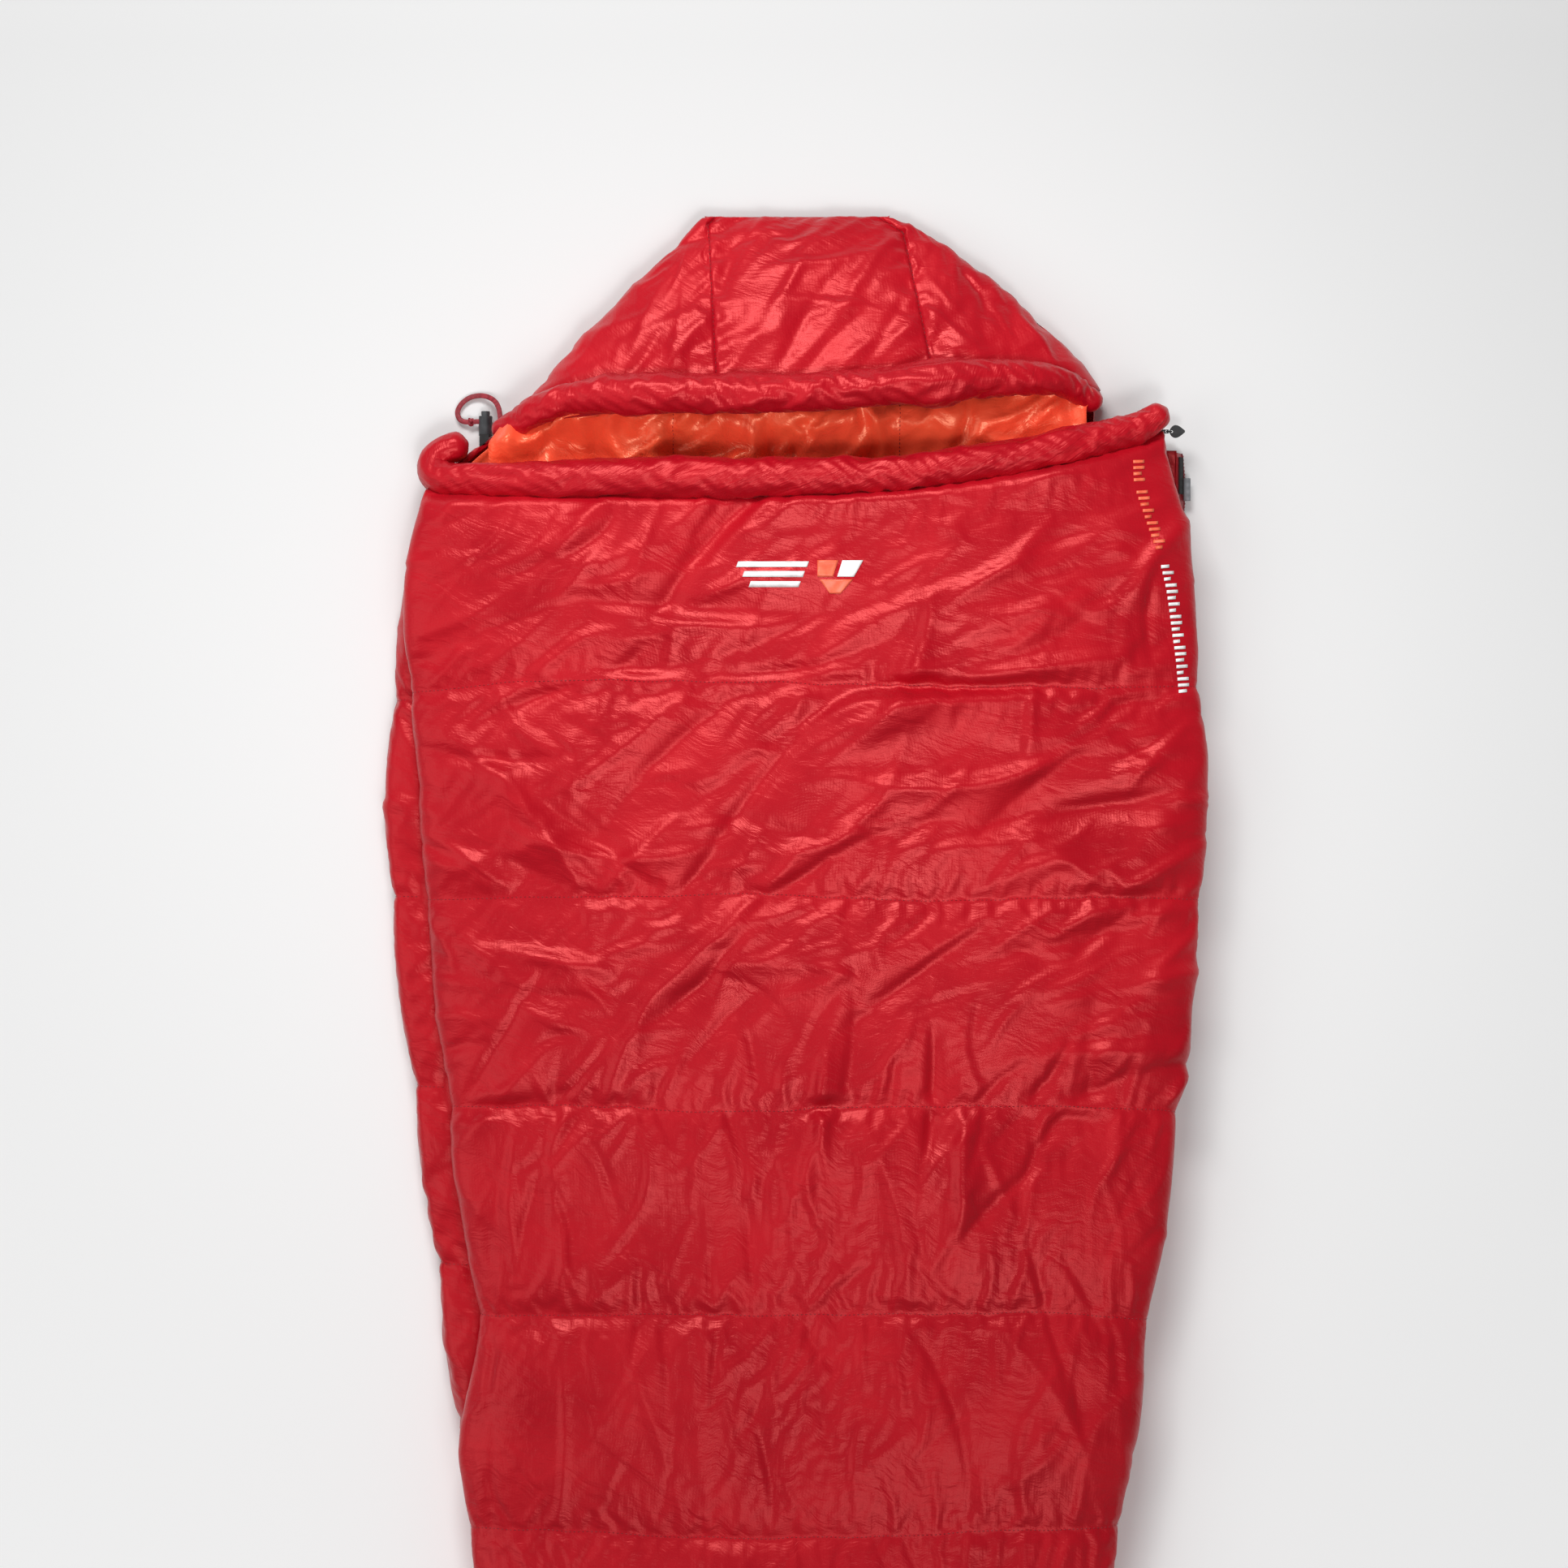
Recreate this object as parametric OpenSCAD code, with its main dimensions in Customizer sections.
/* [Bag] */
// Width of the bag at its widest, across the chest
shoulder_w = 800; // [740:10:860]
// Y of the widest place
wide_y = 490; // [440:10:540]
// Y of the quilt's top edge, below the collar roll
neck_y = 793; // [788:1:795]
// Y of the seam between the quilts and the foot panel
foot_y = -1015; // [-1025:5:-1005]
// How much the sides close in per millimetre towards the feet
side_taper = 0.14; // [0.12:0.01:0.15]
// Height of the upper quilt's crown above the ground
quilt_top = 98; // [92:1:104]
// Extra height of the foot box
foot_rise = 34; // [20:2:44]
// Loft of the upper quilt
quilt_loft = 28; // [20:1:30]

/* [Baffles] */
// Distance between the sewn-through baffle seams
baffle_pitch = 203; // [190:1:215]
// Y of the first baffle seam below the collar
first_seam_y = 610; // [590:5:630]
// How far a seam pulls the quilt's surface down
seam_depth = 7; // [2:1:9]
// How far the under quilt's left side shows beyond the upper quilt
left_step = 38; // [0:2:44]

/* [Hood] */
// Y of the neck line that the hood folds on
hinge_y = 860; // [858:1:862]
// Y of the hood's top edge
head_y = 1075; // [1060:5:1090]
// Height of the hood's crown behind the rim
hood_top = 96; // [88:1:100]
// Radius of the padded rim round the face opening
rim_r = 19; // [15:1:20]
// Radius of the padded collar roll
collar_r = 17; // [14:1:18]

/* [Zip] */
// X of the zip's chain
zip_x = 355; // [352:0.5:356]
// Height of the chain's middle above the ground
zip_z = 31; // [30.5:0.1:31.5]
// Y of the zip's top end
zip_top_y = 870; // [866:1:874]
// Y of the zip's bottom stop
zip_low_y = 150; // [120:5:180]
// Length of the slider
slider_len = 12; // [10:0.5:14]
// Length of the puller's grip
grip_len = 15; // [12:0.5:18]

/* [Cord lock] */
// Outer radius of the lock's barrel
lock_r = 6.6; // [6.3:0.1:7.2]
// Radius of the plunger
plunger_r = 4.3; // [4.1:0.1:4.5]
// How far the plunger can be pressed
plunger_travel = 4; // [3:0.5:4]

/* [Hidden] */
skin = 1.2;                 // thickness of one fabric layer
gap = 0.4;                  // room between stacked layers
rim_h = 16;                 // height that the ground layers' edges turn up to
seam_z = 40;                // height of the upper quilt's lower edge
lining_z = 39;              // height of the upper lining's lower edge
pad_top = 25.8;             // height of the under quilt's lining
foot_end_y = -1050;         // outermost point of the foot panel
foot_rise_y = -520;         // where the upper quilt starts to rise to the foot box
loop_end_y = -1075;         // outermost point of the hang loops
crown_edge_z = 20;          // height of the hood crown's lower edge
crown_y = 916;              // Y where the crown panels start behind the rim
left_seam_x = -80;          // crown seams
right_seam_x = 118;
fine = 48;

red = [0.77, 0.12, 0.16];
dark_red = [0.55, 0.05, 0.09];
orange = [0.92, 0.30, 0.16];
fill_white = [0.93, 0.93, 0.90];
black = [0.07, 0.07, 0.08];
grey = [0.25, 0.26, 0.28];
steel = [0.62, 0.63, 0.65];

// Stations across a layer, from the left edge (-1) to the right edge (1)
across = [-1, -0.96, -0.89, -0.75, -0.55, -0.3, 0, 0.3, 0.55, 0.75, 0.89, 0.96, 1];
inner_across = [for (t = across) if (abs(t) < 0.97) t];

// ---- general helpers ----

function clamp01(v) = min(max(v, 0), 1);
function smooth(v) = let (c = clamp01(v)) c * c * (3 - 2 * c);
function unit(v) = v / norm(v);

// A closed slab between two grids of points of the same size
module slab(low, high) {
    rows = len(low);
    cols = len(low[0]);
    n = rows * cols;
    function at(r, c) = r * cols + c;
    points = concat([for (row = low) each row], [for (row = high) each row]);
    quads = concat(
        [for (r = [0 : rows - 2], c = [0 : cols - 2])
            [at(r, c), at(r + 1, c), at(r + 1, c + 1), at(r, c + 1)]],
        [for (r = [0 : rows - 2], c = [0 : cols - 2])
            [n + at(r, c), n + at(r, c + 1), n + at(r + 1, c + 1), n + at(r + 1, c)]],
        [for (r = [0 : rows - 2])
            [at(r, 0), n + at(r, 0), n + at(r + 1, 0), at(r + 1, 0)]],
        [for (r = [0 : rows - 2])
            [at(r, cols - 1), at(r + 1, cols - 1), n + at(r + 1, cols - 1), n + at(r, cols - 1)]],
        [for (c = [0 : cols - 2])
            [at(0, c), at(0, c + 1), n + at(0, c + 1), n + at(0, c)]],
        [for (c = [0 : cols - 2])
            [at(rows - 1, c), n + at(rows - 1, c), n + at(rows - 1, c + 1), at(rows - 1, c + 1)]]
    );
    polyhedron(points, [for (q = quads) each [[q[0], q[1], q[2]], [q[0], q[2], q[3]]]]);
}

// Points on a smooth curve through a route's points, steps to each span
function curve_point(a, b, c, d, u) =
    0.5 * ((2 * b) + (c - a) * u + (2 * a - 5 * b + 4 * c - d) * u * u
        + (3 * b - a - 3 * c + d) * u * u * u);
function route_curve(route, steps) =
    let (last = len(route) - 1)
    concat(
        [for (i = [0 : last - 1], k = [0 : steps - 1])
            curve_point(route[max(i - 1, 0)], route[i], route[i + 1],
                route[min(i + 2, last)], k / steps)],
        [route[last]]);

// A round tube swept along a path, its radius given for each point
module sweep_tube(path, radii, sides) {
    last = len(path) - 1;
    tangent = [for (i = [0 : last]) unit(path[min(i + 1, last)] - path[max(i - 1, 0)])];
    // The ring's first axis stays as near to up as the tangent allows
    up = [for (t = tangent) unit([0, 0, 1] - t * t[2] + [0.02, 0, 0])];
    side = [for (i = [0 : last]) unit(cross(tangent[i], up[i]))];
    top = [for (i = [0 : last]) cross(side[i], tangent[i])];
    points = [for (i = [0 : last], k = [0 : sides - 1])
        path[i] + radii[i] * (cos(360 * k / sides) * side[i] + sin(360 * k / sides) * top[i])];
    walls = [for (i = [0 : last - 1], k = [0 : sides - 1])
        let (a = i * sides + k, b = i * sides + (k + 1) % sides)
        each [[a, b, b + sides], [a, b + sides, a + sides]]];
    ends = [[for (k = [sides - 1 : -1 : 0]) k], [for (k = [0 : sides - 1]) last * sides + k]];
    polyhedron(points, concat(walls, ends));
}

// A padded roll with a round channel for its cord
module channelled_roll(path, radii, channel_r) {
    last = len(path) - 1;
    longer = [for (i = [0 : last])
        i == 0 ? path[0] + unit(path[0] - path[1])
        : i == last ? path[last] + unit(path[last] - path[last - 1]) : path[i]];
    difference() {
        sweep_tube(path, radii, 12);
        sweep_tube(longer, [for (p = path) channel_r], 8);
    }
}

// ---- the bag's outline and heights ----

function straight_half(y) =
    y >= wide_y ? shoulder_w / 2 - 40 * pow((y - wide_y) / 320, 2)
    : let (u = wide_y - y) shoulder_w / 2 - side_taper * (u - 100 * (1 - exp(-u / 100)));
function foot_round(y) = 1 - 0.2 * pow(clamp01((-810 - y) / 205), 2);
function neck_round(y) = pow(clamp01((y - neck_y) / (hinge_y - neck_y)), 1.5);
function half(y) = straight_half(min(y, 810)) * foot_round(y);
function back_x(t, y) = t * (half(y) - (t < 0 ? 62 : 12) * neck_round(y));

// The upper quilt's left edge is pulled in from the hip to the chest
function left_bump(y) = left_step * smooth((750 - y) / 260) * smooth((y + 150) / 160);
function front_half_left(y) = half(y) - left_bump(y);
function front_x(t, y) = t < 0 ? t * front_half_left(y) : t * half(y);

// The right half of the collar rises towards the zip's top
function collar_rise(x) = x > 0 ? 52 * pow(x / 345, 1.9) : 0;
function front_y(x, y) =
    y + clamp01((y - first_seam_y) / (neck_y - first_seam_y)) * collar_rise(x);

function side_fall(t) = pow(1 - pow(abs(t), 4), 0.7);
function crown_z(y) = quilt_top + foot_rise * smooth((foot_rise_y - y) / 365);
function on_seam(y) =
    y == neck_y || y == foot_y
    || abs((first_seam_y - y) / baffle_pitch - round((first_seam_y - y) / baffle_pitch)) < 0.001
    ? 1 : 0;
function quilt_z(t, y) =
    seam_z + (crown_z(y) - seam_z - seam_depth * on_seam(y)) * side_fall(t);
function upper_lining_z(t, y) =
    lining_z + (crown_z(y) - quilt_loft - lining_z) * side_fall(t);

function turn_up(t) = rim_h * pow(max((abs(t) - 0.89) / 0.11, 0), 1.5);
function pad_z(t) = 17.5 + (pad_top - 17.5) * pow(1 - pow(abs(t), 6), 0.7);

// Rows of the upper quilt: two in every baffle and one on every seam
seam_count = floor((first_seam_y - foot_y - 40) / baffle_pitch);
seams = concat([neck_y], [for (k = [0 : seam_count]) first_seam_y - k * baffle_pitch], [foot_y]);
front_rows = concat(
    [for (k = [0 : len(seams) - 2], f = [0, 0.3, 0.7])
        seams[k] + f * (seams[k + 1] - seams[k])],
    [foot_y]);
back_rows = concat(
    [hinge_y - 0.5, 845, 825, neck_y],
    [for (k = [0 : 10]) 700 - k * 150],
    [-900, -965, foot_y]);

// ---- the quilts ----

module back_layer(ts, low_z, high_z) {
    slab(
        [for (y = back_rows) [for (t = ts) [back_x(t, y), y, low_z(t)]]],
        [for (y = back_rows) [for (t = ts) [back_x(t, y), y, high_z(t)]]]);
}

module back_shell() {
    color(red)
    back_layer(across, function(t) turn_up(t), function(t) turn_up(t) + skin);
}

module back_insulation() {
    color(fill_white)
    back_layer(inner_across,
        function(t) turn_up(t) + skin + gap, function(t) pad_z(t) - skin - gap);
}

module back_lining() {
    color(orange)
    back_layer(inner_across, function(t) pad_z(t) - skin, function(t) pad_z(t));
}

module front_layer(ts, low_z, high_z) {
    function spot(t, y, z) = let (x = front_x(t, y)) [x, front_y(x, y), z];
    slab(
        [for (y = front_rows) [for (t = ts) spot(t, y, low_z(t, y))]],
        [for (y = front_rows) [for (t = ts) spot(t, y, high_z(t, y))]]);
}

module front_shell() {
    color(red)
    front_layer(across, function(t, y) quilt_z(t, y) - skin, function(t, y) quilt_z(t, y));
}

module front_insulation() {
    color(fill_white)
    front_layer(inner_across,
        function(t, y) upper_lining_z(t, y) + gap, function(t, y) quilt_z(t, y) - skin - gap);
}

module front_lining() {
    color(orange)
    front_layer(inner_across,
        function(t, y) upper_lining_z(t, y) - skin, function(t, y) upper_lining_z(t, y));
}

// ---- the foot ----

foot_mid_z = 62;
foot_depths = [0, 0.35, 0.65, 0.86, 0.97];

// A dome over the end of the foot box; inset shrinks it all round
module foot_dome(first_y, last_y, inset) {
    function shrink(f) = sqrt(1 - f * f * 0.92);
    function spot(t, f, z) =
        [t * (half(foot_y) - inset) * shrink(f), first_y + (last_y - first_y) * f,
            foot_mid_z + (z - foot_mid_z) * shrink(f)];
    slab(
        [for (f = foot_depths) [for (t = across) spot(t, f, turn_up(t) + 0.5 + inset)]],
        [for (f = foot_depths) [for (t = across) spot(t, f, quilt_z(t, foot_y) - inset)]]);
}

module foot_panel() {
    color(red)
    difference() {
        foot_dome(foot_y - 0.5, foot_end_y, 0);
        foot_dome(foot_y, foot_end_y + 2, 2);
    }
}

module foot_insulation() {
    color(fill_white) foot_dome(foot_y - 2.4, foot_end_y + 6, 7);
}

module foot_lining() {
    color(orange)
    slab(
        [for (y = [foot_y - 0.6, foot_y - 1.8])
            [for (t = inner_across) [t * (half(foot_y) - 4), y, turn_up(t) + 4]]],
        [for (y = [foot_y - 0.6, foot_y - 1.8])
            [for (t = inner_across) [t * (half(foot_y) - 4), y, quilt_z(t, foot_y) - 4]]]);
}

// A strip that joins the two quilts' edges along one side
module side_strip(rows, side, top_half) {
    low_z = rim_h + skin + gap;
    high_z = seam_z - skin - gap;
    width = 3;
    function pair(x, y, z) =
        side < 0 ? [[-x + 0.5, y, z], [-x + 0.5 + width, y, z]]
        : [[x - 0.5 - width, y, z], [x - 0.5, y, z]];
    slab([for (y = rows) pair(half(y), y, low_z)], [for (y = rows) pair(top_half(y), y, high_z)]);
}

module side_seam_left() {
    color(dark_red)
    side_strip([for (k = [0 : 18]) 785 - k * 100], -1, function(y) front_half_left(y));
}

module side_seam_right() {
    color(dark_red)
    side_strip([for (k = [0 : 11]) zip_low_y - 15 - k * 100], 1, function(y) half(y));
}

// ---- the collar ----

collar_route = [
    [-318, 852, 44], [-340, 844, 42], [-351, 830, 43], [-342, 817, 52], [-310, 813, 64],
    [-250, 813, 77], [-150, 814, 87], [-50, 814, 90], [50, 816, 90], [150, 825, 86],
    [230, 839, 77], [290, 852, 67], [325, 862, 61], [345, 871, 60], [362, 884, 60]
];
collar_path = route_curve(collar_route, 2);
function roll_radius(full, ends, i, last) = ends + (full - ends) * pow(sin(180 * i / last), 0.5);
collar_radii = [for (i = [0 : len(collar_path) - 1])
    roll_radius(collar_r, 11, i, len(collar_path) - 1)];

module collar_tube() {
    color(red) channelled_roll(collar_path, collar_radii, 3);
}

module collar_elastic() {
    color(dark_red) sweep_tube(collar_path, [for (p = collar_path) 2], 8);
}

// ---- the zip ----

coil_half_x = 1.6;
coil_near_z = 0.6;          // gap from the chain's middle to each coil
coil_far_z = 3;
tape_t = 0.6;
tape_far_z = 7.6;
stop_len = 3;

// A bar along the zip, given by its section and its two ends
module zip_bar(x0, x1, z0, z1, y0, y1) {
    translate([zip_x + x0, y0, zip_z + z0]) cube([x1 - x0, y1 - y0, z1 - z0]);
}

module zip_tape_front() {
    color(black)
    zip_bar(-tape_t / 2, tape_t / 2, coil_far_z + 0.1, tape_far_z, zip_low_y, zip_top_y + stop_len);
}

module zip_tape_back() {
    color(black)
    zip_bar(-tape_t / 2, tape_t / 2, -tape_far_z, -coil_far_z - 0.1,
        zip_low_y, zip_top_y + stop_len);
}

module zip_coil(side) {
    low = side > 0 ? coil_near_z : -coil_far_z;
    zip_bar(-coil_half_x, coil_half_x, low, low + coil_far_z - coil_near_z,
        zip_low_y + 2 * stop_len, zip_top_y);
}

module zip_coil_front() {
    color(dark_red) zip_coil(1);
}

module zip_coil_back() {
    color(dark_red) zip_coil(-1);
}

module zip_top_stops() {
    color(steel)
    for (low = [coil_near_z, -coil_far_z])
        zip_bar(-coil_half_x, coil_half_x, low, low + coil_far_z - coil_near_z,
            zip_top_y + 0.3, zip_top_y + stop_len);
}

module zip_bottom_stop() {
    color(steel)
    zip_bar(-coil_half_x, coil_half_x, -coil_far_z, coil_far_z,
        zip_low_y, zip_low_y + 2 * stop_len - 0.3);
}

module zip_draught_tube() {
    tube_r = 8.5;
    color(orange)
    translate([zip_x - 17, zip_low_y + 10, zip_z + 6]) rotate([-90, 0, 0])
        cylinder(h = neck_y - zip_low_y - 20, r = tube_r, $fn = fine);
}

module anti_snag_tape() {
    color(black) zip_bar(-7.5, -6.7, -5, 6, zip_low_y + 10, neck_y - 10);
}

// Slider: two plates round the chain, joined by a thin web between the coils
plate_gap = 2.2;
plate_t = 1.5;
flange_in = 3.5;
flange_out = 4.6;
pin_x = 5.9;
pin_r = 0.8;
slider_y = zip_top_y - slider_len;

module zip_slider() {
    color(steel) {
        for (s = [-1, 1]) {
            zip_bar(min(s * plate_gap, s * (plate_gap + plate_t)),
                max(s * plate_gap, s * (plate_gap + plate_t)),
                -flange_out, flange_out, slider_y, zip_top_y);
            for (f = [-1, 1])
                zip_bar(min(s * 0.7, s * plate_gap), max(s * 0.7, s * plate_gap),
                    min(f * flange_in, f * flange_out), max(f * flange_in, f * flange_out),
                    slider_y, zip_top_y);
        }
        zip_bar(-plate_gap, plate_gap, -0.32, 0.32, slider_y + 1, zip_top_y - 1);
        // Ears and pin that the puller swings on
        for (f = [-1, 1])
            zip_bar(plate_gap + plate_t, pin_x + 1.3, min(f * 1.4, f * 2.8), max(f * 1.4, f * 2.8),
                slider_y + slider_len / 2 - 1.6, slider_y + slider_len / 2 + 1.6);
        translate([zip_x + pin_x, slider_y + slider_len / 2, zip_z - 2.8])
            cylinder(h = 5.6, r = pin_r, $fn = fine);
    }
}

tab_hole_x = 3.4;           // from the pin
ring_r = 2.6;
ring_wire = 0.6;
grip_hole_x = tab_hole_x + 2 * ring_r;

module on_pin() {
    translate([zip_x + pin_x, slider_y + slider_len / 2, zip_z]) children();
}

module zip_pull_tab() {
    color(steel)
    on_pin() difference() {
        union() {
            translate([0, 0, -1.1]) cylinder(h = 2.2, r = 1.9, $fn = fine);
            translate([0, -1.9, -1.1]) cube([tab_hole_x + 2.1, 3.8, 2.2]);
        }
        translate([0, 0, -2]) cylinder(h = 4, r = pin_r + 0.08, $fn = fine);
        translate([tab_hole_x, 0, -2]) cylinder(h = 4, r = 1.15, $fn = fine);
    }
}

module puller_cord() {
    color(black)
    on_pin() translate([tab_hole_x + ring_r, 0, 0]) rotate([90, 0, 0])
        rotate_extrude($fn = fine) translate([ring_r, 0]) circle(r = ring_wire, $fn = 16);
}

module puller_grip() {
    half_t = 1.5;
    widest = 6.2;
    start = grip_hole_x - 2.2;
    outline = [for (k = [0 : 12]) let (u = k / 12)
        [start + grip_len * u, 0.9 + (widest - 0.9) * sin(180 * pow(u, 0.75))]];
    color(black)
    on_pin() difference() {
        translate([0, 0, -half_t]) linear_extrude(2 * half_t)
            polygon(concat(outline, [for (k = [12 : -1 : 0]) [outline[k][0], -outline[k][1]]]));
        translate([grip_hole_x, 0, -2]) cylinder(h = 4, r = 1.4, $fn = fine);
    }
}

// ---- the neck flap, hanging outward and down beside the zip's top ----

flap_x = 374.5;
flap_z = 24;
flap_y0 = 764;
flap_len = 80;
flap_w = 22;
flap_t = 2.4;
flap_angle = 65;            // below the horizontal

module on_flap() {
    translate([flap_x, flap_y0, flap_z]) rotate([0, flap_angle, 0]) children();
}

// The flap's outline: straight along the hinge, one tapered end
module flap_outline(inset) {
    polygon([[1 + inset, 8 + inset], [1 + inset, flap_len - inset],
        [flap_w - 6 - inset, flap_len - inset], [flap_w - inset, flap_len - 24],
        [flap_w - inset, 30], [flap_w - 10 - inset, 6 + inset], [flap_w - 15, inset]]);
}

module neck_flap() {
    color(dark_red)
    on_flap() translate([0, 0, -flap_t / 2]) linear_extrude(flap_t) flap_outline(1.5);
}

module flap_binding() {
    color(dark_red)
    on_flap() translate([0, 0, -flap_t / 2 - 0.3]) linear_extrude(flap_t + 0.6) difference() {
        flap_outline(0);
        flap_outline(1.4);
        square([3, 200]);
    }
}

module flap_hook_strip() {
    color(black)
    on_flap() translate([4, 40, flap_t / 2 + 0.1]) cube([11, 36, 1.2]);
}

module flap_webbing_loop() {
    loop_r = 3.4;
    color(grey)
    on_flap() translate([flap_w - 3.4, 34, flap_t / 2 + loop_r + 0.4]) rotate([-90, 0, 0])
        difference() {
            cylinder(h = 22, r = loop_r, $fn = fine);
            translate([0, 0, -1]) cylinder(h = 24, r = loop_r - 1.1, $fn = fine);
        }
}

// ---- hang loops and label ----

module hang_loop(x) {
    loop_w = 12;
    strap = 1.4;
    out_r = 5;
    reach = foot_end_y - loop_end_y - out_r + 0.8;
    color(black)
    translate([x - loop_w / 2, loop_end_y + out_r, foot_mid_z]) rotate([90, 0, 90])
        linear_extrude(loop_w) difference() {
            union() {
                circle(r = out_r, $fn = fine);
                translate([0, -out_r]) square([reach, 2 * out_r]);
            }
            circle(r = out_r - strap, $fn = fine);
            translate([0, -out_r + strap]) square([reach + 1, 2 * (out_r - strap)]);
        }
}

loop_x = 45;
module hang_loop_left() {
    hang_loop(-loop_x);
}

module hang_loop_right() {
    hang_loop(loop_x);
}

module care_label() {
    label_y = -700;
    label_w = 32;
    color("white")
    translate([-half(label_y + label_w) - 23, label_y, 24]) cube([21, label_w, 0.8]);
}

// ---- cord lock and drawcord ----

lock_x = -304;
lock_z = 7.5;
lock_y0 = 862.2;
lock_len = 19;
cord_y = 876;
cord_hole_r = 2.9;
cord_tube_r = 2.2;
plunger_y0 = 869;
plunger_len = 17;
pocket_len = 3.8;

// A rod along Y at the lock's middle
module lock_rod(y0, length, r) {
    translate([lock_x, y0, lock_z]) rotate([-90, 0, 0]) cylinder(h = length, r = r, $fn = fine);
}

// A hole across the lock for the cord
module lock_cross_hole(y) {
    translate([lock_x - 10, y, lock_z]) rotate([0, 90, 0])
        cylinder(h = 20, r = cord_hole_r, $fn = fine);
}

module cord_anchor() {
    strap = 1.2;
    width = 9;
    top = pad_top + 1;
    color(black)
    translate([lock_x - width / 2, 0, 0]) rotate([90, 0, 90]) linear_extrude(width)
        polygon([[843, top], [lock_y0 - 0.1, top], [lock_y0 - 0.1, lock_z - 2],
            [lock_y0 - 0.1 - strap, lock_z - 2], [lock_y0 - 0.1 - strap, top - strap * 0.01],
            [843, top - 0.7]]);
}

module cord_lock_body() {
    color(grey)
    difference() {
        lock_rod(lock_y0, lock_len, lock_r);
        lock_rod(lock_y0 + 2.3, lock_len, plunger_r + 0.15);
        lock_cross_hole(cord_y);
    }
}

module cord_lock_spring() {
    spring_r = 3.2;
    color(steel)
    difference() {
        lock_rod(lock_y0 + 2.5, 3.8, spring_r);
        lock_rod(lock_y0 + 2, 5, spring_r - 0.8);
    }
}

module cord_lock_plunger() {
    color(black)
    difference() {
        lock_rod(plunger_y0, plunger_len, plunger_r);
        lock_rod(plunger_y0 - 1, pocket_len + 1, 3.5);
        lock_cross_hole(cord_y);
        lock_cross_hole(cord_y + plunger_travel);
        translate([lock_x - 10, cord_y, lock_z - cord_hole_r])
            cube([20, plunger_travel, 2 * cord_hole_r]);
    }
}

drawcord_route = [
    [-287, 874, 38], [-288, 880, 32], [-290, 888, 24], [-294, 895, 15], [-301, 900, 8],
    [-310, 902, 4], [-320, 900, 3], [-328, 894, 3], [-332, 886, 3], [-330, 879, 4],
    [-324, 876, 5], [-312, 876, 7.5], [-304, 876, 7.5]
];
drawcord_path = route_curve(drawcord_route, 2);

module drawcord_loop() {
    color(dark_red) sweep_tube(drawcord_path, [for (p = drawcord_path) cord_tube_r], 8);
}

module drawcord_knot() {
    knot_r = 4.6;
    color(red)
    translate([-318.5, cord_y, 6.1]) rotate([0, 78, 0]) difference() {
        sphere(r = knot_r, $fn = fine);
        cylinder(h = 20, r = cord_tube_r + 0.6, center = true, $fn = fine);
    }
}

// ---- the hood ----

function hood_v(y) = clamp01((y - 850) / (head_y - 850));
function hood_left(y) = 86 + 205 * (1 - pow(hood_v(y), 1.15));
function hood_right(y) =
    min(92 + 228 * (1 - pow(hood_v(y), 1.7)), 296 + 0.5 * max(y - 885, 0));
function hood_x(t, y) = t < 0 ? t * hood_left(y) : t * hood_right(y);
function hood_t(x, y) = x < 0 ? x / hood_left(y) : x / hood_right(y);

hood_rows = [for (f = [0, 0.12, 0.26, 0.42, 0.58, 0.74, 0.88, 0.96, 1])
    hinge_y + 0.5 + f * (head_y - hinge_y - 0.5)];
function hood_end_up(y) = 8 * pow(clamp01((y - head_y + 24) / 24), 1.5);
function hood_turn_up(t, y) =
    14 * pow(max((abs(t) - 0.85) / 0.15, 0), 1.5) * (1 - 0.5 * clamp01((y - 1050) / 25))
    + hood_end_up(y);

module hood_back_layer(rows, ts, low_z, high_z) {
    slab(
        [for (y = rows) [for (t = ts) [hood_x(t, y), y, low_z(t, y)]]],
        [for (y = rows) [for (t = ts) [hood_x(t, y), y, high_z(t, y)]]]);
}

hood_pad_rows = [for (y = hood_rows) if (y < head_y - 20) y];

module hood_back_shell() {
    color(red)
    hood_back_layer(hood_rows, across,
        function(t, y) hood_turn_up(t, y), function(t, y) hood_turn_up(t, y) + skin);
}

module hood_back_insulation() {
    color(fill_white)
    hood_back_layer(hood_pad_rows, inner_across,
        function(t, y) hood_turn_up(t, y) + skin + gap, function(t, y) pad_z(t) - skin - gap);
}

module hood_back_lining() {
    color(orange)
    hood_back_layer(hood_pad_rows, inner_across,
        function(t, y) pad_z(t) - skin, function(t, y) pad_z(t));
}

function rim_rise(x) = x > 0 ? 17 * clamp01(x / 200) : 0;
function crown_spot_y(x, y) = y + (1 - clamp01((y - crown_y) / (head_y - crown_y))) * rim_rise(x);
function hood_crown_z(y) =
    crown_edge_z + 4 + (hood_top - crown_edge_z - 4) * pow(1 - pow(hood_v(y), 2), 0.7);
function hood_fall(t) = pow(max(1 - pow(abs(t), 3), 0), 0.7);
function crown_z_at(t, y) = crown_edge_z + (hood_crown_z(y) - crown_edge_z) * hood_fall(t);
function crown_lining_z(t, y) = 29 + max(hood_crown_z(y) - 54, 2) * hood_fall(t);
crown_rows = [for (f = [0, 0.15, 0.32, 0.5, 0.68, 0.84, 0.95, 1])
    crown_y + f * (head_y - crown_y)];

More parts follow.
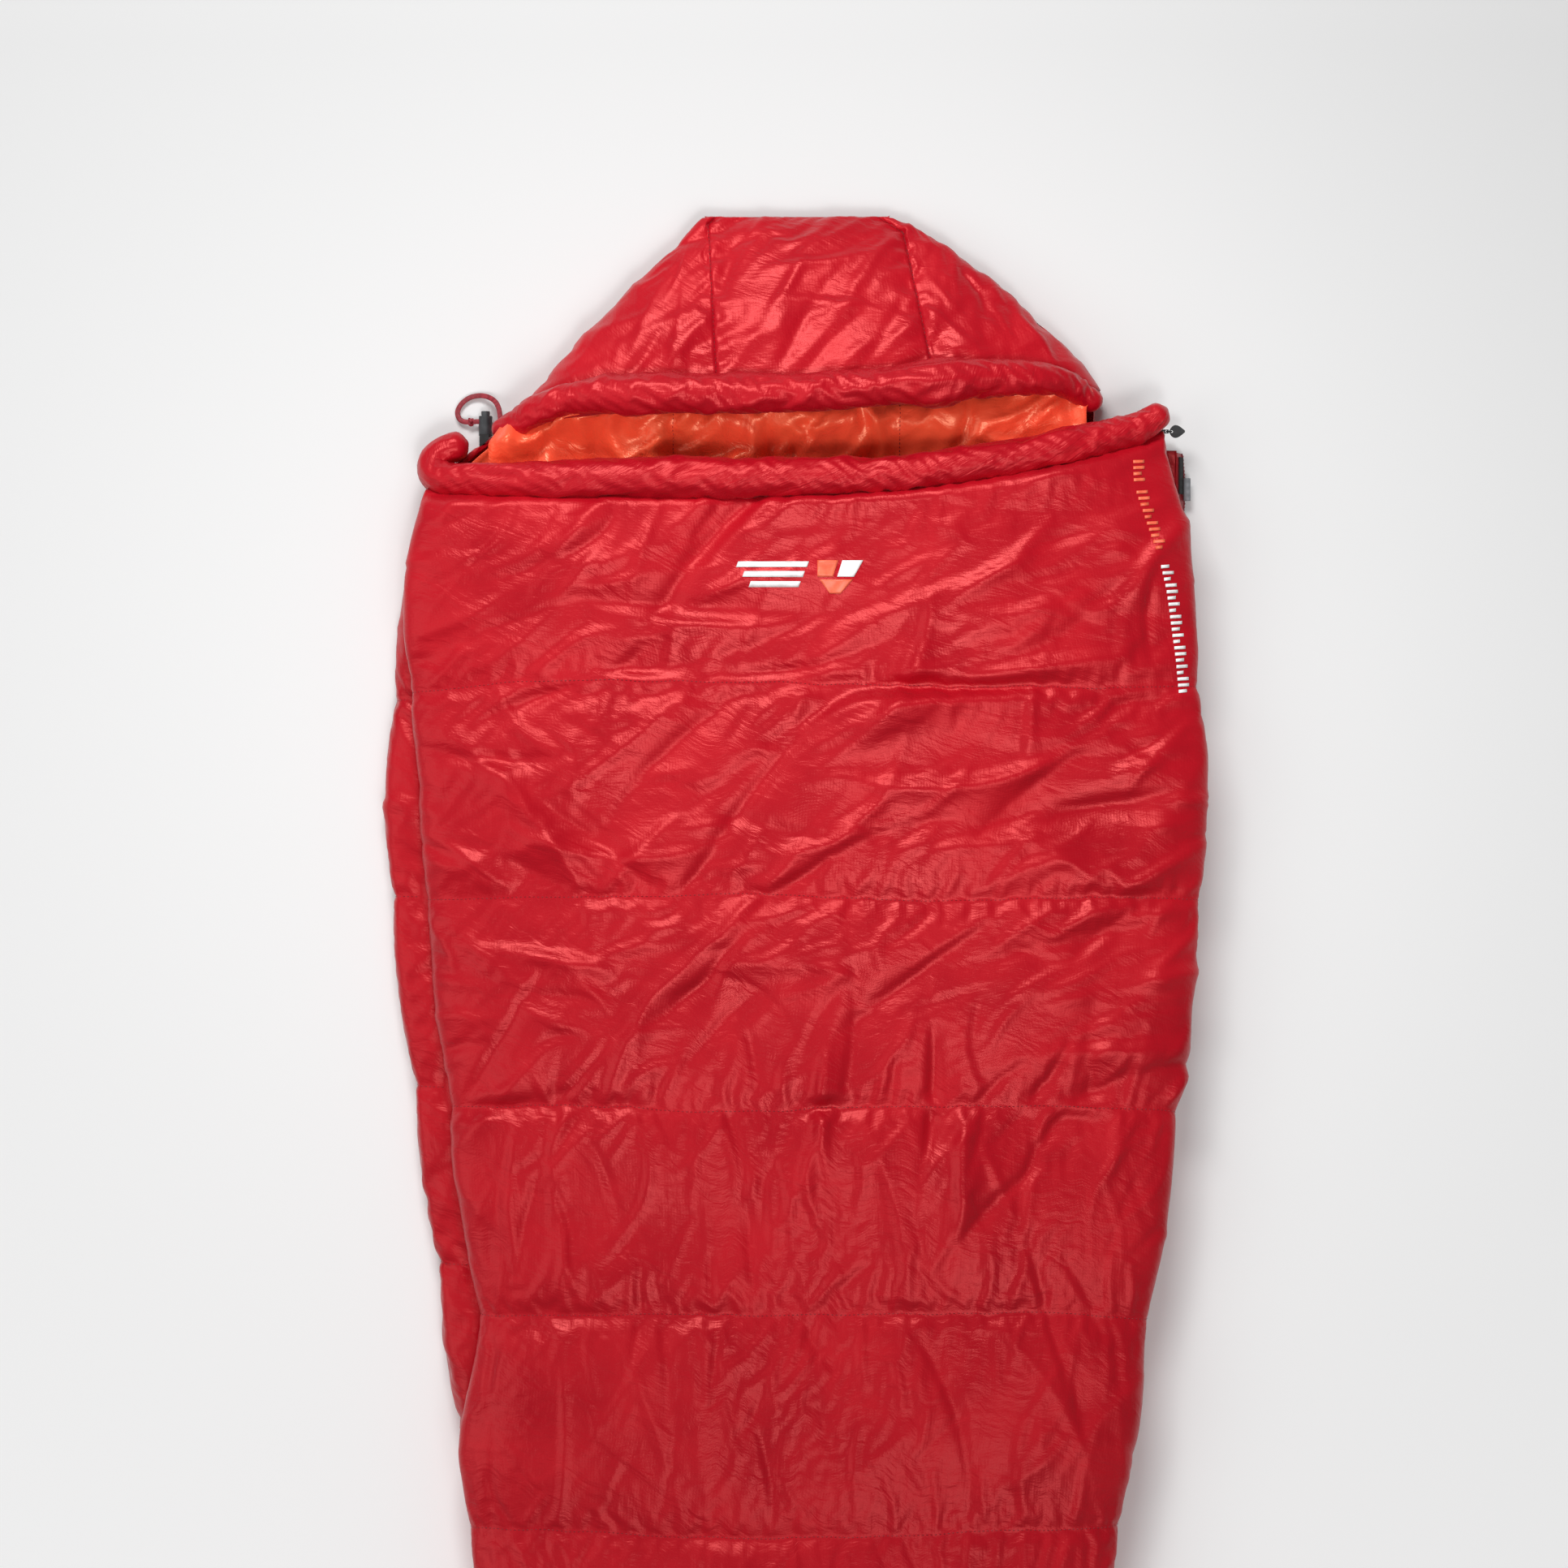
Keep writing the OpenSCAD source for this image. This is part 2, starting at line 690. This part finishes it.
// One crown panel between two lines of x, each a function of y
module crown_panel(from_x, to_x) {
    steps = 8;
    function x_at(k, y) = from_x(y) + (to_x(y) - from_x(y)) * k / steps;
    function spot(k, y, drop) = let (x = x_at(k, y))
        [x, crown_spot_y(x, y), crown_z_at(hood_t(x, y), y) - drop];
    slab(
        [for (y = crown_rows) [for (k = [0 : steps]) spot(k, y, skin)]],
        [for (y = crown_rows) [for (k = [0 : steps]) spot(k, y, 0)]]);
}

function left_seam(y) = left_seam_x + 0.06 * (crown_y + 80 - y);
function right_seam(y) = right_seam_x - 0.18 * (y - crown_y - 80);

module hood_crown_left() {
    color(red) crown_panel(function(y) -hood_left(y), function(y) left_seam(y) - 0.2);
}

module hood_crown_centre() {
    color(red)
    crown_panel(function(y) max(left_seam(y), -hood_left(y) + 4),
        function(y) min(right_seam(y), hood_right(y) - 4));
}

module hood_crown_right() {
    color(red) crown_panel(function(y) right_seam(y) + 0.2, function(y) hood_right(y));
}

crown_pad_across = [for (t = inner_across) t * 0.9];
crown_pad_rows = [for (y = crown_rows) if (y < head_y - 30) y];

// The crown's inner layers stop short of the sides, where the hood thins out
module crown_inner_layer(low_z, high_z) {
    function spot(t, y, z) = let (x = hood_x(t, y)) [x, crown_spot_y(x, y), z];
    slab(
        [for (y = crown_pad_rows) [for (t = crown_pad_across) spot(t, y, low_z(t, y))]],
        [for (y = crown_pad_rows) [for (t = crown_pad_across) spot(t, y, high_z(t, y))]]);
}

module hood_crown_insulation() {
    color(fill_white)
    crown_inner_layer(function(t, y) crown_lining_z(t, y) + gap,
        function(t, y) max(crown_z_at(t, y) - skin - 5 * gap, crown_lining_z(t, y) + gap + 1));
}

module hood_crown_lining() {
    color(orange)
    crown_inner_layer(function(t, y) crown_lining_z(t, y) - skin,
        function(t, y) crown_lining_z(t, y));
}

rim_route = [
    [-272, 878, 42], [-262, 884, 54], [-240, 890, 68], [-200, 893, 82], [-130, 895, 93],
    [-60, 895, 97], [0, 895, 98], [60, 899, 98], [130, 906, 94], [200, 911, 84],
    [250, 910, 70], [276, 900, 54], [286, 884, 42]
];
rim_path = route_curve(rim_route, 2);
rim_radii = [for (i = [0 : len(rim_path) - 1]) roll_radius(rim_r, 12, i, len(rim_path) - 1)];

module hood_rim() {
    color(red) channelled_roll(rim_path, rim_radii, 3.2);
}

module hood_drawcord() {
    color(dark_red) sweep_tube(rim_path, [for (p = rim_path) 2.2], 8);
}

back_shell();
back_insulation();
back_lining();
front_shell();
front_insulation();
front_lining();
foot_panel();
foot_insulation();
foot_lining();
side_seam_left();
side_seam_right();
collar_tube();
collar_elastic();
zip_tape_front();
zip_tape_back();
zip_coil_front();
zip_coil_back();
zip_top_stops();
zip_bottom_stop();
zip_draught_tube();
anti_snag_tape();
hang_loop_left();
hang_loop_right();
care_label();
cord_anchor();
cord_lock_body();
cord_lock_spring();
cord_lock_plunger();
drawcord_loop();
drawcord_knot();
hood_back_shell();
hood_back_insulation();
hood_back_lining();
hood_crown_left();
hood_crown_centre();
hood_crown_right();
hood_crown_insulation();
hood_crown_lining();
hood_rim();
hood_drawcord();
zip_slider();
zip_pull_tab();
puller_cord();
puller_grip();
neck_flap();
flap_binding();
flap_hook_strip();
flap_webbing_loop();
